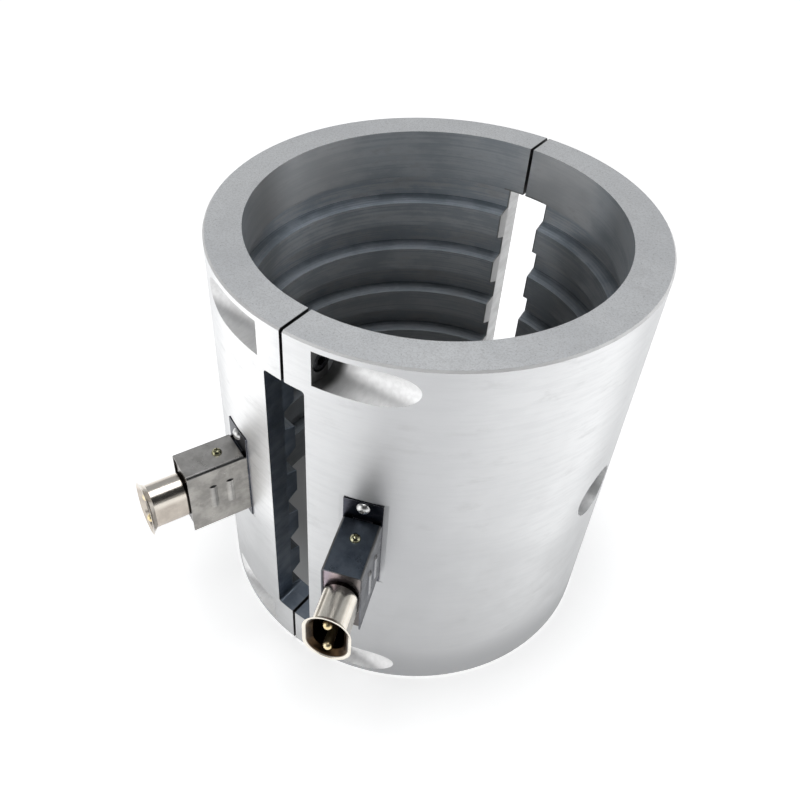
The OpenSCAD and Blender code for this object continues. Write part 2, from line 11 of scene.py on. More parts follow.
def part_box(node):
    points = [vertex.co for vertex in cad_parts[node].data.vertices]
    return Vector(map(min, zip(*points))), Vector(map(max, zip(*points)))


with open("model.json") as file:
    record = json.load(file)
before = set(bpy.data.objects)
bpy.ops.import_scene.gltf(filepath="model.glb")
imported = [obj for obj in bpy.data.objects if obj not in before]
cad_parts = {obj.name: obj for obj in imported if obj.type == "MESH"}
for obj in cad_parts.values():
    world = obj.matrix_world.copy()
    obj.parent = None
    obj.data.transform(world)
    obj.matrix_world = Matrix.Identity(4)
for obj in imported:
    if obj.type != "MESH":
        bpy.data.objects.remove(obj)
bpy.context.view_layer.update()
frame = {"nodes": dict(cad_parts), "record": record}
nodes = frame["nodes"]
mounts = frame["record"]["mounts"]

MM = 0.001

# Sizes of the shells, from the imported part
half_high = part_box("right_half")[1]
BODY_H = half_high.z
OUTER_R = half_high.x
BORE_R = next(m["dims"]["r_mm"] for m in mounts if m["name"] == "bore") * MM

# Sizes of the shells that the frame doesn't give: half the width of the air windows, the height of
# the plain end rings, the depth of the air grooves, and where the pockets' seats stand along X
WINDOW_X = 12.5 * MM
RING_H = 30 * MM
GROOVE_DEPTH = 7.5 * MM
SEAT_X = 16.5 * MM

# Sizes of the terminal boxes: half the width of a cover, how far outside the wall a flange ends,
# how far above the plug's axis a bracket's painted shade sets in, and where the plug barrel's base,
# with its painted shadow, lies from the middle of its contacts
COVER_HALF = 10.3 * MM
FLANGE_END = (8 * MM, 4 * MM)
BRACKET_SHADE_SPAN = (8 * MM, 4 * MM)
BARREL_BASE = (-10.8 * MM, -11.2 * MM)

# Middle of a noise pattern, over which it goes from one tone or roughness to the other
NARROW = (0.35, 0.65)
WIDE = (0.3, 0.7)

# Cosines between which a face comes to count as turned wall, end face, bore and slope of a land
WALL_FACING = (0.97, 0.995)
END_FACING = (0.93, 0.98)
BORE_FACING = (0.45, 0.25)
SLOPE_FACING = (0.1, 0.4)

# Dark and light tone of each surface of the shells. Painted shade darkens the wall low down, the
# windows' sides and the bore's slopes, and painted light brightens the bore's grooves
WALL_LOW_SHADED = ((0.50, 0.505, 0.51), (0.60, 0.605, 0.61))
WALL_HIGH = ((0.86, 0.865, 0.87), (0.93, 0.935, 0.94))
END_FACE = ((0.76, 0.77, 0.785), (0.82, 0.83, 0.84))
END_RING = ((0.65, 0.70, 0.745), (0.80, 0.835, 0.87))
LAND = ((0.72, 0.77, 0.82), (0.92, 0.95, 0.98))
LIT_GROOVE = ((0.76, 0.81, 0.86), (0.96, 0.975, 0.99))
SHADED_SLOPE = ((0.38, 0.43, 0.48), (0.58, 0.63, 0.69))
SHADED_FRONT_WINDOW = ((0.20, 0.235, 0.285), (0.30, 0.34, 0.395))
SHADED_BACK_WINDOW = ((0.44, 0.44, 0.44), (0.54, 0.54, 0.54))

# What lies over the wall's tones: painted dark reflections, painted shade on the flank, brushing,
# and a painted highlight by the window
DARK_REFLECTION_WALL = (0.36, 0.365, 0.375)
SHADED_WALL = (0.40, 0.405, 0.42)
BRUSHED_WALL = (0.45, 0.455, 0.47)
HIGHLIGHT_WALL = 0.98

# How strong they are. The foot and both flanks of the wall get painted dark reflections in
# proportion to the first
DARK_REFLECTION = 0.30
FOOT_DARK_REFLECTION = 2.1
RIGHT_DARK_REFLECTION = 1.2
LEFT_DARK_REFLECTION = 0.8
SHADING = (0.20, 0.42)
BRUSHING = 0.10

# Angles round the barrel from the front joint, in radians, at which they start and end
DARK_REFLECTION_BAND = (-0.05, 0.30, 0.85, 1.30)
SHADED_BAND = (0.20, 0.50, 0.60, 0.95)
HIGHLIGHT_BAND = (-0.55, -0.35, -0.12, 0.0)
DARK_REFLECTION_FOOT = (0.1, 0.5)
DARK_REFLECTION_RIGHT = (1.30, 1.60)
DARK_REFLECTION_LEFT = (-0.5, -0.9)

# Heights between which a tone changes, as shares of the body's: the wall's own tones, painted shade
# low down, with a share of clouds, its painted shade and its painted highlight, the left pockets'
# painted light and shade, and the bore's painted shade at its foot. The last is the height in
# metres over which the wall's foot gets a painted dark reflection
WALL_RISE = (0.05, 1.15)
CLOUD_SHARE = 0.3
SHADE_RISE = (0.1, 0.5)
HIGHLIGHT_RISE = (0.38, 0.50)
POCKET_RISE = (0.3, 0.5)
BORE_FALL = (0.9, 0.35)
DARK_REFLECTION_FOOT_Z = (50 * MM, 10 * MM)

# Greys of the milled faces: left pockets low and high and right pockets, in painted light and
# shade, the painted shade beside the right pockets' seats, cutter marks and joint faces
LIT_LEFT_POCKET_LOW = 0.90
SHADED_LEFT_POCKET_HIGH = 0.76
LIT_RIGHT_POCKET = 0.94
SEAT_SHADE = 0.16
CUTTER_MARK = 0.30
JOINT_FACE = 0.08

# Greys of the end faces' grain and specks, and of stains and worn edges everywhere, and how strong
# grain, cutter marks and stains are
END_GRAIN = 0.62
END_SPECK = 0.40
STAIN = 0.45
WORN_EDGE = 0.30
GRAININESS = 0.55
MARKING = 0.08
STAINING = 0.22

# Greys painted on the bore: painted light on its top ring at the left and the back, and painted
# shade at its foot and at its front and right, each with its strength
LIT_RING_LEFT = 0.94
LIT_RING_BACK = 0.92
SHADED_BORE_FOOT = 0.10
SHADED_BORE = 0.09
LIT_RING_LEFT_STRENGTH = 0.6
LIT_RING_BACK_STRENGTH = 0.7
SHADED_BORE_FOOT_STRENGTH = 0.55
SHADED_BORE_STRENGTH = 0.5

# Smoothest and roughest state of each surface of the shells
ROUGH_WALL = (0.44, 0.52)
ROUGH_END = (0.46, 0.56)
ROUGH_BORE = (0.56, 0.70)
ROUGH_MILLED = (0.50, 0.60)
ROUGH_WINDOW = (0.36, 0.50)

# Tones of the terminal boxes. The right one is darker and tinted. The roofs' tones hold painted
# light and shade, the louvres a painted highlight, and the brackets painted shade low down and, on
# the right, on one side of the front plate
STEEL = ((0.34, 0.325, 0.31), (0.46, 0.44, 0.42))
TINTED_STEEL = ((0.38, 0.32, 0.36), (0.46, 0.39, 0.44))
SHADED_TINTED_FRONT = (0.36, 0.34, 0.355)
LEFT_SIDES = ((0.28, 0.27, 0.255), (0.42, 0.405, 0.38))
LEFT_ROOF = ((0.42, 0.405, 0.385), (0.58, 0.56, 0.54))
RIGHT_SIDES = ((0.10, 0.105, 0.12), (0.15, 0.155, 0.175))
RIGHT_ROOF = ((0.085, 0.105, 0.135), (0.13, 0.155, 0.19))
BLUE_BLACK_FLANGE = ((0.035, 0.04, 0.055), (0.07, 0.075, 0.095))
SHADED_LOW_BRACKET = (0.10, 0.09, 0.088)
LOUVRE_HIGHLIGHT = 0.92
BRACKET_EDGE = 0.85
ROUGH_SHEET = (0.26, 0.38)

# Dark and light tone of screws, plating, ceramic and the element's sheath
ZINC = ((0.60, 0.60, 0.60), (0.74, 0.74, 0.73))
NICKEL = ((0.76, 0.71, 0.64), (0.88, 0.84, 0.77))
BRASS = ((0.86, 0.70, 0.40), (0.94, 0.82, 0.56))
SCREW_BRASS = ((0.34, 0.33, 0.20), (0.60, 0.58, 0.40))
SHEATH = ((0.30, 0.27, 0.24), (0.44, 0.41, 0.38))
BLACK_OXIDE = ((0.035, 0.036, 0.04), (0.22, 0.22, 0.23))
DARK_CERAMIC = ((0.012, 0.011, 0.011), (0.022, 0.02, 0.02))
PALE_CERAMIC = ((0.74, 0.70, 0.62), (0.86, 0.83, 0.76))

# Tones of the plug barrels: nickel, the left one darker with painted shade, painted light on the
# upper side, the painted shadow at the base, and painted shade inside the mouth, tinted brown as a
# painted reflection of the pins
RIGHT_BARREL = ((0.78, 0.73, 0.65), (0.90, 0.85, 0.76))
SHADED_LEFT_BARREL = ((0.46, 0.41, 0.36), (0.56, 0.51, 0.45))
BARREL_LIGHT = (0.95, 0.90, 0.82)
BARREL_SHADOW = (0.02, 0.016, 0.014)
SHADED_MOUTH = ((0.030, 0.018, 0.010), (0.070, 0.043, 0.022))
ROUGH_BARREL = (0.18, 0.22)
ROUGH_MOUTH = 0.32

# Noise scales in cells per metre: mottled plating, its grain, and the lines that turning leaves
PLATE_MOTTLE = 160.0
PLATE_GRAIN = 2600.0
TURNED_LINES = 900.0

# Camera, as found from the circles, the joint and the base of the heater in the photograph
CAMERA_AT = Vector((0.1967, -0.3248, 0.4774))
CAMERA_YAW = math.radians(38.7)
CAMERA_PITCH = math.radians(43.42)
CAMERA_ROLL = math.radians(-0.73)
CAMERA_LENS = 37.3
CAMERA_SENSOR = 36.0
CAMERA_SHIFT = (0.078, 0.0016)
CAMERA_CLIP = (0.01, 50.0)

# Floor: its size, its glow and the lower glow near the heater that paints a shadow, its colour in
# the open, and its two tones inside the bore: painted shade, and painted light by the front window
FLOOR_SIZE = 14.0
FLOOR_GLOW = 0.59
FLOOR_GLOW_SHADOWED = 0.80
FLOOR_COLOUR = 0.93
FLOOR_SHADED_IN_BORE = 0.36
FLOOR_LIT_BY_WINDOW = 0.80

# Where they change: the glow, with its painted shadow, by distance in radii of the shells, and the
# painted shade and light inside by Y
FLOOR_GLOW_SPAN = (0.9, 1.6)
FLOOR_WINDOW_SPAN = (-40 * MM, -95 * MM)

# Light of the horizon and of the sky above it, on the far side and on the camera's side
HORIZON_FAR = 1.0
HORIZON_NEAR = 0.30
SKY_FAR = 0.44
SKY_NEAR = 0.03
SKY_TINT = (0.94, 0.97, 1.0)

# Cosines to the camera's side over which sky and horizon dim, and heights over which the horizon
# gives way to the sky and the tint sets in
SKY_DIMS = (-0.35, 0.45)
HORIZON_DIMS = (-0.2, 0.6)
HORIZON_TOP = (0.12, 0.36)
TINT_SPAN = (0.1, 0.8)

# Lamps: name, place, size and power
LAMPS = (
    ("high_softbox", (0.1, -0.1, 2.2), 1.4, 16.0),
    ("left_softbox", (-0.87, -1.85, 0.70), 1.5, 9.0),
    ("right_softbox", (1.8, 0.5, 0.9), 1.0, 3.0),
)


def opaque(colour):
    return tuple(colour) + (1.0,)


def grey(value):
    return (value, value, value, 1.0)


class Graph:
    """A small builder for the nodes of one material or of the world."""

    def __init__(self, owner):
        self.owner = owner
        owner.use_nodes = True
        self.tree = owner.node_tree
        self.tree.nodes.clear()

    def put(self, socket, value):
        if isinstance(value, bpy.types.NodeSocket):
            self.tree.links.new(value, socket)
        elif value is not None:
            socket.default_value = value

    def add(self, kind, inputs=None, **settings):
        node = self.tree.nodes.new(kind)
        for key, value in settings.items():
            setattr(node, key, value)
        for key, value in (inputs or {}).items():
            self.put(node.inputs[key], value)
        return node

    def math(self, operation, *values):
        node = self.add("ShaderNodeMath", operation=operation)
        for socket, value in zip(node.inputs, values):
            self.put(socket, value)
        return node.outputs[0]

    def times(self, first, *others):
        for other in others:
            first = self.math("MULTIPLY", first, other)
        return first

    def most(self, first, *others):
        for other in others:
            first = self.math("MAXIMUM", first, other)
        return first

    def less(self, first, second):
        return self.math("SUBTRACT", first, second)

    def vector(self, operation, *values, output="Vector"):
        node = self.add("ShaderNodeVectorMath", operation=operation)
        for socket, value in zip(node.inputs, values):
            self.put(socket, value)
        return node.outputs[output]

    def dot(self, a, b):
        return self.vector("DOT_PRODUCT", a, b, output="Value")

    def length(self, vector):
        return self.vector("LENGTH", vector, output="Value")

    def split(self, vector):
        return self.add("ShaderNodeSeparateXYZ", {"Vector": vector}).outputs

    def join(self, x=0.0, y=0.0, z=0.0):
        return self.add("ShaderNodeCombineXYZ", {"X": x, "Y": y, "Z": z}).outputs[0]

    def step(self, value, low, high, start=0.0, end=1.0):
        """A soft step from start to end as value goes from low to high."""
        node = self.add(
            "ShaderNodeMapRange",
            {"Value": value, "From Min": low, "From Max": high, "To Min": start, "To Max": end},
            interpolation_type="SMOOTHSTEP",
        )
        return node.outputs[0]

    def band(self, value, rise_from, rise_to, fall_from, fall_to):
        """0, then 1 between two limits, then 0 again, with soft edges."""
        rise = self.step(value, rise_from, rise_to)
        return self.times(rise, self.step(value, fall_to, fall_from))

    def within(self, value, limit):
        """1 up to half a millimetre past a limit, and 0 from a millimetre past it."""
        return self.step(value, limit + MM, limit + 0.5 * MM)

    def noise(self, vector, scale, detail, roughness, stretch=None):
        """A noise pattern with scale cells per metre, and finer by stretch along each axis."""
        if stretch:
            vector = self.vector("MULTIPLY", vector, stretch)
        node = self.add(
            "ShaderNodeTexNoise",
            {"Vector": vector, "Scale": scale, "Detail": detail, "Roughness": roughness},
        )
        return node.outputs[0]

    def mix(self, factor, a, b):
        node = self.add("ShaderNodeMix", data_type="RGBA")
        for index, value in ((0, factor), (6, a), (7, b)):
            self.put(node.inputs[index], value)
        return node.outputs[2]

    def coat(self, base, top, *factors):
        """Colour base with top over it, as strong as the product of the factors."""
        return self.mix(self.times(*factors), base, top)

    def pair(self, factor, tones):
        return self.mix(factor, opaque(tones[0]), opaque(tones[1]))

    def mottle(self, pattern, tones, span=NARROW):
        return self.pair(self.step(pattern, *span), tones)

    def blend(self, factor, a, b):
        node = self.add("ShaderNodeMix", data_type="FLOAT")
        for index, value in ((0, factor), (2, a), (3, b)):
            self.put(node.inputs[index], value)
        return node.outputs[0]

    def rough(self, pattern, limits):
        return self.step(pattern, *WIDE, *limits)

    def bump(self, height, distance, strength, normal=None):
        inputs = {"Height": height, "Distance": distance, "Strength": strength, "Normal": normal}
        return self.add("ShaderNodeBump", inputs).outputs[0]

    def edges(self, radius):
        """1 on edges and 0 on flat faces: how far a bevelled normal leans from the true one."""
        bevelled = self.add("ShaderNodeBevel", {"Radius": radius}, samples=6).outputs[0]
        true = self.add("ShaderNodeNewGeometry").outputs["Normal"]
        return self.step(self.dot(bevelled, true), 0.97, 0.80)

    def finish(self, colour, metallic, roughness, normal):
        """Ends a material in one Principled shader."""
        inputs = {
            "Base Color": colour,
            "Metallic": metallic,
            "Roughness": roughness,
            "Normal": normal,
        }
        shader = self.add("ShaderNodeBsdfPrincipled", inputs)
        output = self.add("ShaderNodeOutputMaterial", {"Surface": shader.outputs[0]})
        output.is_active_output = True
        return self.owner


def material(name):
    return Graph(bpy.data.materials.new(name))


def shell_place(g):
    """Where a point of a half shell lies and which surface it is on, as values and 0 to 1 masks."""
    where = g.add("ShaderNodeTexCoord")
    at = SimpleNamespace(point=where.outputs["Object"])
    facing = where.outputs["Normal"]
    at.x, at.y, at.z = g.split(at.point)
    flat = g.join(at.x, at.y, 0.0)
    at.radius = g.length(flat)
    at.from_joint = g.math("ABSOLUTE", at.x)
    at.from_end = g.less(BODY_H / 2, g.math("ABSOLUTE", g.less(at.z, BODY_H / 2)))
    at.height = g.math("DIVIDE", at.z, BODY_H)
    # Angle round the barrel from the front joint, in radians, and sine of that angle
    at.around = g.math("ARCTAN2", at.x, g.times(at.y, -1.0))
    at.sideways = g.math("DIVIDE", at.x, at.radius)
    at.tilt = g.split(facing)[2]
    outward = g.dot(facing, g.vector("NORMALIZE", flat))

    at_wall = g.step(at.radius, OUTER_R - 2 * MM, OUTER_R - MM)
    at.wall = g.times(g.step(outward, *WALL_FACING), at_wall)
    level = g.step(g.math("ABSOLUTE", at.tilt), *END_FACING)
    at.end = g.times(level, g.within(at.from_end, 0.0))
    at.bore = g.times(
        g.within(at.radius, BORE_R + GROOVE_DEPTH),
        g.less(1.0, at.end),
        g.step(outward, *BORE_FACING),
    )
    at.window = g.times(
        g.within(at.from_joint, WINDOW_X),
        g.step(at.from_end, RING_H - MM, RING_H - 0.5 * MM),
        g.less(1.0, at.wall),
    )
    return at


def shell_patterns(g, at):
    """Clouds, stains, grain and tool marks of the shells."""
    feed = g.times(g.math("ADD", at.radius, at.z), TURNED_LINES)
    turned = g.join(g.times(at.x, 6.0), g.times(at.y, 6.0), feed)
    pattern = SimpleNamespace(
        clouds=g.noise(at.point, 14.0, 4.0, 0.6),
        stains=g.noise(at.point, 45.0, 5.0, 0.65, stretch=(1.0, 1.0, 2.5)),
        brush=g.noise(at.point, 36.0, 6.0, 0.7, stretch=(1.0, 1.0, 10.0)),
        grain=g.noise(at.point, 1300.0, 2.0, 0.6),
        speck=g.step(g.noise(at.point, 900.0, 2.0, 0.7), 0.60, 0.72),
        lines=g.noise(turned, 1.0, 3.0, 0.6),
        cuts=g.noise(at.point, 1.0, 3.0, 0.6, stretch=(500.0, 120.0, 500.0)),
    )
    worn = g.math("ADD", g.times(pattern.stains, 0.6), g.times(pattern.lines, 0.4))
    pattern.worn = g.step(worn, 0.42, 0.58)
    return pattern


def milled_colour(g, at, pattern):
    """Pockets, joint faces and port: greys of painted light and shade by place, darker cuts, and a
    painted shade by the right pockets' seats.
    """
    # The pockets' greys by place are painted light and shade: lighter low on the left and on the
    # right
    rise = g.step(at.height, *POCKET_RISE)
    colour = g.mix(rise, grey(LIT_LEFT_POCKET_LOW), grey(SHADED_LEFT_POCKET_HIGH))
    colour = g.mix(g.step(at.x, -5 * MM, 5 * MM), colour, grey(LIT_RIGHT_POCKET))
    colour = g.coat(colour, grey(CUTTER_MARK), g.step(pattern.cuts, *NARROW), MARKING)
    by_seat = g.band(at.x, 0.0, SEAT_X, SEAT_X + 4 * MM, SEAT_X + 9 * MM)
    return g.coat(colour, grey(SEAT_SHADE), by_seat, g.step(at.from_end, 2 * MM, 3 * MM))


def window_colour(g, at, pattern):
    """Sides of the air windows, darker with painted shade, most and bluish in front."""
    front = g.mottle(pattern.stains, SHADED_FRONT_WINDOW)
    back = g.mottle(pattern.stains, SHADED_BACK_WINDOW)
    return g.mix(g.step(at.y, -20 * MM, 20 * MM), front, back)


def wall_colour(g, at, pattern):
    """Turned wall: painted shade low down, painted dark reflections at the foot and towards both
    flanks, and a painted highlight left of the window.
    """
    # The wall goes from painted shade low down to its own light tone high up
    clouded = g.math("ADD", at.height, g.times(pattern.clouds, CLOUD_SHARE))
    low, high = g.mottle(pattern.clouds, WALL_LOW_SHADED), g.mottle(pattern.clouds, WALL_HIGH)
    colour = g.mix(g.step(clouded, *WALL_RISE), low, high)

    # Painted dark reflections at the foot, on both flanks and in a band right of the front joint
    shaded_foot = g.step(at.z, *DARK_REFLECTION_FOOT_Z, 0.0, FOOT_DARK_REFLECTION)
    dark_reflection = g.most(
        g.band(at.around, *DARK_REFLECTION_BAND),
        g.step(at.around, *DARK_REFLECTION_RIGHT, 0.0, RIGHT_DARK_REFLECTION),
        g.step(at.around, *DARK_REFLECTION_LEFT, 0.0, LEFT_DARK_REFLECTION),
        g.times(g.step(at.around, *DARK_REFLECTION_FOOT), shaded_foot),
    )
    colour = g.coat(colour, opaque(DARK_REFLECTION_WALL), dark_reflection, DARK_REFLECTION)
    # A painted highlight on the wall, left of the front window and high up
    light_by_window = g.band(at.around, *HIGHLIGHT_BAND)
    colour = g.coat(colour, grey(HIGHLIGHT_WALL), light_by_window, g.step(at.height, *HIGHLIGHT_RISE))
    flank = g.band(at.around, *SHADED_BAND)
    shade = g.step(at.height, *SHADE_RISE, *SHADING)
    colour = g.coat(colour, opaque(SHADED_WALL), flank, shade)
    return g.coat(colour, opaque(BRUSHED_WALL), g.step(pattern.brush, 0.42, 0.62), BRUSHING)


def end_colour(g, pattern):
    """Grainy end faces."""
    colour = g.mottle(pattern.clouds, END_FACE)
    colour = g.coat(colour, grey(END_GRAIN), g.step(pattern.grain, 0.40, 0.65), GRAININESS)
    return g.coat(colour, grey(END_SPECK), pattern.speck, GRAININESS)


def bore_colour(g, at, pattern):
    """Lands, grooves and slopes, with painted light on the top ring at the left and back and in the
    grooves, and painted shade on the slopes, downwards, to the right and in front.
    """
    ring = g.pair(pattern.worn, END_RING)
    # Painted light on the top ring, at the left and at the back
    left = g.step(at.sideways, -0.80, -0.98)
    ring = g.coat(ring, grey(LIT_RING_LEFT), left, LIT_RING_LEFT_STRENGTH)
    back = g.times(g.band(at.sideways, -0.15, 0.10, 0.40, 0.65), g.step(at.y, 0.0, 20 * MM))
    ring = g.coat(ring, grey(LIT_RING_BACK), back, LIT_RING_BACK_STRENGTH)

    ring_foot = BODY_H - RING_H
    colour = g.mix(g.step(at.z, ring_foot - MM, ring_foot), g.pair(pattern.worn, LAND), ring)
    # Painted light in the grooves, and painted shade on the upward slopes
    in_groove = g.step(at.radius, BORE_R + MM, BORE_R + 4 * MM)
    colour = g.mix(in_groove, colour, g.pair(pattern.worn, LIT_GROOVE))
    colour = g.mix(g.step(at.tilt, *SLOPE_FACING), colour, g.pair(pattern.worn, SHADED_SLOPE))
    # Painted shade, deeper towards the bore's foot
    shaded_foot = g.step(at.height, *BORE_FALL)
    colour = g.coat(colour, grey(SHADED_BORE_FOOT), shaded_foot, SHADED_BORE_FOOT_STRENGTH)

    # Painted shade on the bore's right side, from lower down, and in front
    shade_from = g.step(at.z, ring_foot - 20 * MM, ring_foot, 0.15, 0.45)
    shade_right = g.step(g.less(at.sideways, shade_from), 0.0, 0.3)
    shade_front = g.step(at.y, 5 * MM, -30 * MM)
    bore_shade = g.most(shade_front, shade_right)
    return g.coat(colour, grey(SHADED_BORE), bore_shade, SHADED_BORE_STRENGTH)


def cast_aluminium():
    """Satin shells: turned wall, ends and bore, and milled windows, pockets and joint faces."""
    g = material("cast_aluminium")
    at = shell_place(g)
    pattern = shell_patterns(g, at)

    colour = g.mix(at.wall, milled_colour(g, at, pattern), wall_colour(g, at, pattern))
    colour = g.mix(at.end, colour, end_colour(g, pattern))
    colour = g.mix(at.bore, colour, bore_colour(g, at, pattern))
    colour = g.mix(at.window, colour, window_colour(g, at, pattern))
    on_joint = g.step(at.from_joint, 1.1 * MM, 0.9 * MM)
    colour = g.coat(colour, grey(JOINT_FACE), on_joint)
    colour = g.coat(colour, grey(STAIN), g.step(pattern.stains, 0.55, 0.72), STAINING)
    wear = g.step(pattern.grain, 0.40, 0.60, 0.1, 0.6)
    colour = g.coat(colour, grey(WORN_EDGE), g.edges(0.5 * MM), wear)

    milled_rough = g.rough(pattern.cuts, ROUGH_MILLED)
    rough = g.blend(at.window, milled_rough, g.rough(pattern.cuts, ROUGH_WINDOW))
    rough = g.blend(at.wall, rough, g.rough(pattern.clouds, ROUGH_WALL))
    rough = g.blend(at.end, rough, g.rough(pattern.stains, ROUGH_END))
    rough = g.blend(at.bore, rough, g.rough(pattern.stains, ROUGH_BORE))

    turned = g.most(at.wall, at.end, at.bore)
    normal = g.bump(g.blend(turned, pattern.cuts, pattern.lines), 0.03 * MM, 0.6)
    normal = g.bump(pattern.grain, 0.012 * MM, 0.5, normal)
    return g.finish(colour, 1.0, rough, normal)


def plug_axis(side):
    """Direction of a plug's axis and a point on it, midway between its two contacts."""
    pins = [m for m in mounts if m["name"].startswith(side) and m["name"].endswith("_contact")]
    middle = sum((Vector(m["pos_m"]) for m in pins), Vector()) / len(pins)
    return Vector(pins[0]["axis"]), middle


def sheet_place(g, side):
    """Where a point of a terminal box lies along and across its plug's axis, and a pattern for its
    tint.
    """
    where = g.add("ShaderNodeTexCoord")
    at = SimpleNamespace(point=where.outputs["Object"])
    along, axis_point = plug_axis(side)
    at.up = g.split(where.outputs["Normal"])[2]
    at.across = g.dot(at.point, (-along.y, along.x, 0.0))
    at.out = g.dot(at.point, tuple(along))
    at.above = g.less(g.split(at.point)[2], axis_point.z)
    at.tint = g.noise(at.point, 90.0, 4.0, 0.6)
    return at


def sheet_finish(g, at, colour, edge, streak):
    """Ends a sheet: edges in a grey of their own, dark streaks and a faint grain."""
    streaks = g.noise(at.point, 130.0, 6.0, 0.7, stretch=(1.0, 1.0, 2.5))
    fine = g.noise(at.point, 2200.0, 2.0, 0.5)
    colour = g.coat(colour, grey(edge), g.edges(0.35 * MM), 0.5)
    streak = opaque(0.75 * c for c in streak)
    colour = g.coat(colour, streak, g.step(streaks, 0.45, 0.75), 0.25)
    normal = g.bump(streaks, 0.01 * MM, 0.5)
    normal = g.bump(fine, 0.005 * MM, 0.4, normal)
    return g.finish(colour, 1.0, g.rough(streaks, ROUGH_SHEET), normal)


def cover_sheet(name, side, sides, roof, edge, highlight_strength):
    """Cold-rolled sheet of a cover: a painted highlight on the louvres, its own roof tone with
    painted light and shade, grey bends.
    """
    g = material(name)
    at = sheet_place(g, side)
    colour = g.mottle(at.tint, sides)
    across = g.math("ABSOLUTE", at.across)
    louvre = g.step(across, COVER_HALF + 0.15 * MM, COVER_HALF + 0.8 * MM)
    # A painted highlight on the louvres
    colour = g.coat(colour, grey(LOUVRE_HIGHLIGHT), louvre, highlight_strength)
    # The roof's own tone: painted light and shade on the top
    colour = g.mix(g.step(at.up, 0.4, 0.8), colour, g.mottle(at.tint, roof))
    colour = g.coat(colour, grey(edge), g.band(at.up, 0.05, 0.20, 0.95, 0.995))
    return sheet_finish(g, at, colour, edge, sides[0])


def bracket_sheet(name, side, tones, front=None):
    """Cold-rolled sheet of a bracket: painted shade low down, with a blue-black flange. A front
    tone,
    where given, covers one side of it: painted shade on the right bracket.
    """
    g = material(name)
    at = sheet_place(g, side)
    colour = g.mottle(at.tint, tones)
    if front:
        # One side of the front plate in another tone: painted shade on the right bracket
        colour = g.mix(g.step(at.across, -6 * MM, 7 * MM), colour, opaque(front))
    # Painted shade on the bracket below the plug's axis
    colour = g.coat(colour, opaque(SHADED_LOW_BRACKET), g.step(at.above, *BRACKET_SHADE_SPAN))
    flange = g.step(at.out, *(OUTER_R + reach for reach in FLANGE_END))
    colour = g.mix(flange, colour, g.mottle(at.tint, BLUE_BLACK_FLANGE))
    return sheet_finish(g, at, colour, BRACKET_EDGE, tones[0])


def plated(name, tones, roughness):
    """Plated or drawn metal: two tones and two roughnesses, mottled, with a fine grain."""
    g = material(name)
    point = g.add("ShaderNodeTexCoord").outputs["Object"]
    tone = g.noise(point, PLATE_MOTTLE, 4.0, 0.6)
    fine = g.noise(point, PLATE_GRAIN, 2.0, 0.5)
    colour = g.mottle(tone, tones)
    return g.finish(colour, 1.0, g.rough(tone, roughness), g.bump(fine, 0.006 * MM, 0.4))


def plug_barrel(name, side, tones, lift, rim):
    """Satin nickel outside, with painted light above the axis by lift and a painted shadow ring at
    the base, and painted shade inside up to rim, tinted brown as a painted reflection of the pins.
    Which way a face looks from the axis tells inside from outside."""
    g = material(name)
    where = g.add("ShaderNodeTexCoord")
    point, facing = where.outputs["Object"], where.outputs["Normal"]
    along, axis_point = plug_axis(side)
    offset = g.vector("SUBTRACT", point, tuple(axis_point))
    run = g.dot(offset, tuple(along))
    run_along = g.vector("MULTIPLY", g.join(run, run, run), tuple(along))
    outward = g.vector("NORMALIZE", g.vector("SUBTRACT", offset, run_along))
    inward = g.step(g.dot(facing, outward), -0.15, -0.35)
    inside = g.times(inward, g.step(run, rim, rim - 0.5 * MM))

    tone = g.noise(point, PLATE_MOTTLE, 4.0, 0.6)
    rings = g.noise(g.join(g.times(run, TURNED_LINES)), 1.0, 3.0, 0.6)
    fine = g.noise(point, PLATE_GRAIN, 2.0, 0.5)
    above = g.step(g.split(offset)[2], 4 * MM, 8 * MM)
    bright = g.mottle(tone, tones, WIDE)
    # Painted light on the barrel's upper side
    bright = g.coat(bright, opaque(BARREL_LIGHT), above, lift)
    # A painted shadow ring at the barrel's base
    bright = g.coat(bright, opaque(BARREL_SHADOW), g.step(run, *BARREL_BASE))
    # Painted shade inside the mouth, tinted brown as a painted reflection of the pins
    colour = g.mix(inside, bright, g.mottle(tone, SHADED_MOUTH))
    rough = g.blend(inside, g.rough(tone, ROUGH_BARREL), ROUGH_MOUTH)
    normal = g.bump(rings, 0.004 * MM, 0.4)
    return g.finish(colour, 1.0, rough, g.bump(fine, 0.006 * MM, 0.4, normal))


def ceramic(name, tones, roughness):
    """Pressed ceramic with a little porosity."""
    g = material(name)
    point = g.add("ShaderNodeTexCoord").outputs["Object"]
    tone = g.noise(point, 300.0, 4.0, 0.6)
    colour = g.mottle(tone, tones, (0.35, 0.7))
    return g.finish(colour, 0.0, roughness, g.bump(tone, 0.05 * MM, 0.5))


def black_oxide():
    """Blackened steel of the socket screws, worn a little bright."""
    g = material("black_oxide")
    point = g.add("ShaderNodeTexCoord").outputs["Object"]
    wear = g.step(g.noise(point, 700.0, 4.0, 0.7), 0.58, 0.70)
    colour = g.pair(wear, BLACK_OXIDE)
    return g.finish(colour, 0.85, g.blend(wear, 0.42, 0.30), g.bump(wear, 0.01 * MM, 0.5))


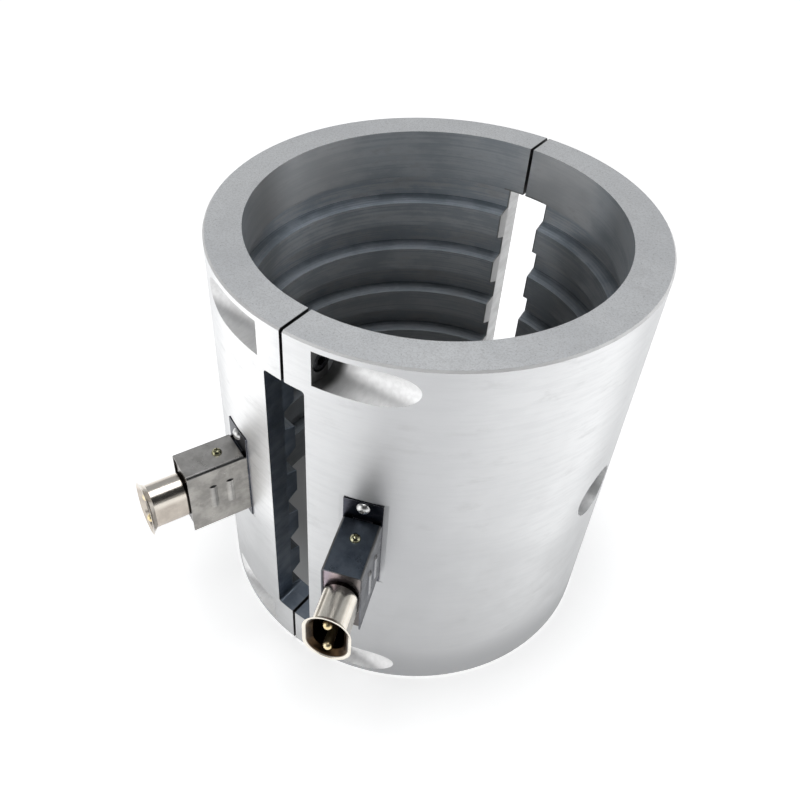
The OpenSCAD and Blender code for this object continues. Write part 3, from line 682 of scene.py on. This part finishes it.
def slot_finishes():
    """Finish of each material slot. The sheet parts, slot stainless, all have one of their own."""
    return {
        "cast_aluminium": cast_aluminium(),
        "dark_steel": black_oxide(),
        "zinc": plated("zinc_plate", ZINC, (0.24, 0.36)),
        "nickel": plated("nickel_plate", NICKEL, (0.16, 0.24)),
        "brass": plated("brass", BRASS, (0.30, 0.40)),
        "sheath": plated("steel_sheath", SHEATH, (0.38, 0.50)),
        "dark_ceramic": ceramic("dark_ceramic", DARK_CERAMIC, 0.6),
        "pale_ceramic": ceramic("pale_ceramic", PALE_CERAMIC, 0.55),
    }


def own_finishes():
    """Finishes of the nodes that look different from the rest of their slot."""
    screw = plated("screw_brass", SCREW_BRASS, (0.10, 0.18))
    return {
        "right_cover": cover_sheet(
            "dark_sheet", "right", RIGHT_SIDES, RIGHT_ROOF, edge=0.2, highlight_strength=0.5
        ),
        "left_cover": cover_sheet(
            "left_sheet", "left", LEFT_SIDES, LEFT_ROOF, edge=0.12, highlight_strength=0.12
        ),
        "right_bracket": bracket_sheet("tinted_sheet", "right", TINTED_STEEL, SHADED_TINTED_FRONT),
        "left_bracket": bracket_sheet("left_bracket_sheet", "left", STEEL),
        "right_cover_screw": screw,
        "left_cover_screw": screw,
        "right_plug_shell": plug_barrel(
            "right_nickel", "right", RIGHT_BARREL, lift=0.0, rim=10.3 * MM
        ),
        # The left barrel's darker nickel is painted shade
        "left_plug_shell": plug_barrel(
            "left_nickel", "left", SHADED_LEFT_BARREL, lift=0.5, rim=8.0 * MM
        ),
    }


def dress_nodes():
    """Gives every CAD node its own finish or that of its material slot."""
    by_slot, by_node = slot_finishes(), own_finishes()
    for part in frame["record"]["subparts"]:
        name = part["node"]
        materials = nodes[name].data.materials
        materials.clear()
        materials.append(by_node[name] if name in by_node else by_slot[part["material_slot"]])


def studio_floor():
    """A white floor with the heater's shadow, deepened near it by a painted shadow, with painted
    shade inside the bore, lighter by the front window. The camera and reflections see it lit up to
    white.
    """
    bpy.ops.mesh.primitive_plane_add(size=FLOOR_SIZE, location=(0.0, 0.0, 0.0))
    floor = bpy.context.object
    floor.name = "floor"
    g = material("floor_white")
    path = g.add("ShaderNodeLightPath").outputs
    seen = g.most(path["Is Camera Ray"], path["Is Glossy Ray"], path["Is Transmission Ray"])
    x, y, _ = g.split(g.add("ShaderNodeTexCoord").outputs["Object"])
    away = g.length(g.join(x, y))
    past_bore = g.step(away, BORE_R, OUTER_R)
    # Less glow near the heater: a painted shadow
    near = g.step(away, *(share * OUTER_R for share in FLOOR_GLOW_SPAN), FLOOR_GLOW_SHADOWED, 1.0)
    # Inside the bore: painted shade, lighter by the front window as painted light
    light_by_window = g.step(y, *FLOOR_WINDOW_SPAN)
    shade = g.mix(light_by_window, grey(FLOOR_SHADED_IN_BORE), grey(FLOOR_LIT_BY_WINDOW))
    shade = g.mix(past_bore, shade, grey(FLOOR_COLOUR))
    level = g.times(seen, g.times(past_bore, near), FLOOR_GLOW)
    diffuse = g.add("ShaderNodeBsdfDiffuse", {"Color": shade})
    glow = g.add("ShaderNodeEmission", {"Color": grey(1.0), "Strength": level})
    both = g.add("ShaderNodeAddShader", {0: diffuse.outputs[0], 1: glow.outputs[0]})
    g.add("ShaderNodeOutputMaterial", {"Surface": both.outputs[0]})
    floor.data.materials.append(g.owner)


def studio_world():
    """Pale on the far side, brightest at the horizon, and dark on the camera's side."""
    world = bpy.data.worlds.new("studio")
    bpy.context.scene.world = world
    g = Graph(world)
    direction = g.add("ShaderNodeTexCoord").outputs["Generated"]
    z = g.split(direction)[2]
    toward_camera = Vector((CAMERA_AT.x, CAMERA_AT.y, 0.0)).normalized()
    near = g.dot(direction, tuple(toward_camera))
    overhead = g.step(near, *SKY_DIMS, SKY_FAR, SKY_NEAR)
    horizon = g.step(near, *HORIZON_DIMS, HORIZON_FAR, HORIZON_NEAR)
    level = g.blend(g.step(z, *HORIZON_TOP), horizon, overhead)
    tint = g.mix(g.step(z, *TINT_SPAN), grey(1.0), opaque(SKY_TINT))
    to_camera = g.add("ShaderNodeLightPath").outputs["Is Camera Ray"]
    level = g.blend(to_camera, level, 1.0)
    tint = g.mix(to_camera, tint, grey(1.0))
    background = g.add("ShaderNodeBackground", {"Color": tint, "Strength": level})
    g.add("ShaderNodeOutputWorld", {"Surface": background.outputs[0]})


def studio_lamps():
    """Square area lamps, all aimed at the middle of the heater."""
    centre = Vector((0.0, 0.0, BODY_H / 2))
    for name, at, size, power in LAMPS:
        lamp = bpy.data.lights.new(name, "AREA")
        lamp.size = size
        lamp.energy = power
        holder = bpy.data.objects.new(name, lamp)
        holder.location = at
        holder.rotation_mode = "QUATERNION"
        holder.rotation_quaternion = (centre - Vector(at)).to_track_quat("-Z", "Y")
        bpy.context.scene.collection.objects.link(holder)


def photograph_camera():
    """The camera that took the photograph."""
    data = bpy.data.cameras.new("camera")
    data.sensor_width = CAMERA_SENSOR
    data.lens = CAMERA_LENS
    data.shift_x, data.shift_y = CAMERA_SHIFT
    data.clip_start, data.clip_end = CAMERA_CLIP
    level_right = Vector((math.cos(CAMERA_YAW), math.sin(CAMERA_YAW), 0.0))
    level_ahead = Vector((-math.sin(CAMERA_YAW), math.cos(CAMERA_YAW), 0.0))
    ahead = level_ahead * math.cos(CAMERA_PITCH) - Vector((0.0, 0.0, math.sin(CAMERA_PITCH)))
    down = ahead.cross(level_right)
    right = level_right * math.cos(CAMERA_ROLL) + down * math.sin(CAMERA_ROLL)
    up = right.cross(ahead)
    turn = Matrix((right, up, -ahead)).transposed().to_4x4()
    camera = bpy.data.objects.new("camera", data)
    camera.matrix_world = Matrix.Translation(CAMERA_AT) @ turn
    bpy.context.scene.collection.objects.link(camera)
    bpy.context.scene.camera = camera


dress_nodes()
studio_floor()
studio_world()
studio_lamps()
photograph_camera()
bpy.context.scene.view_settings.view_transform = "Standard"

bpy.context.view_layer.update()
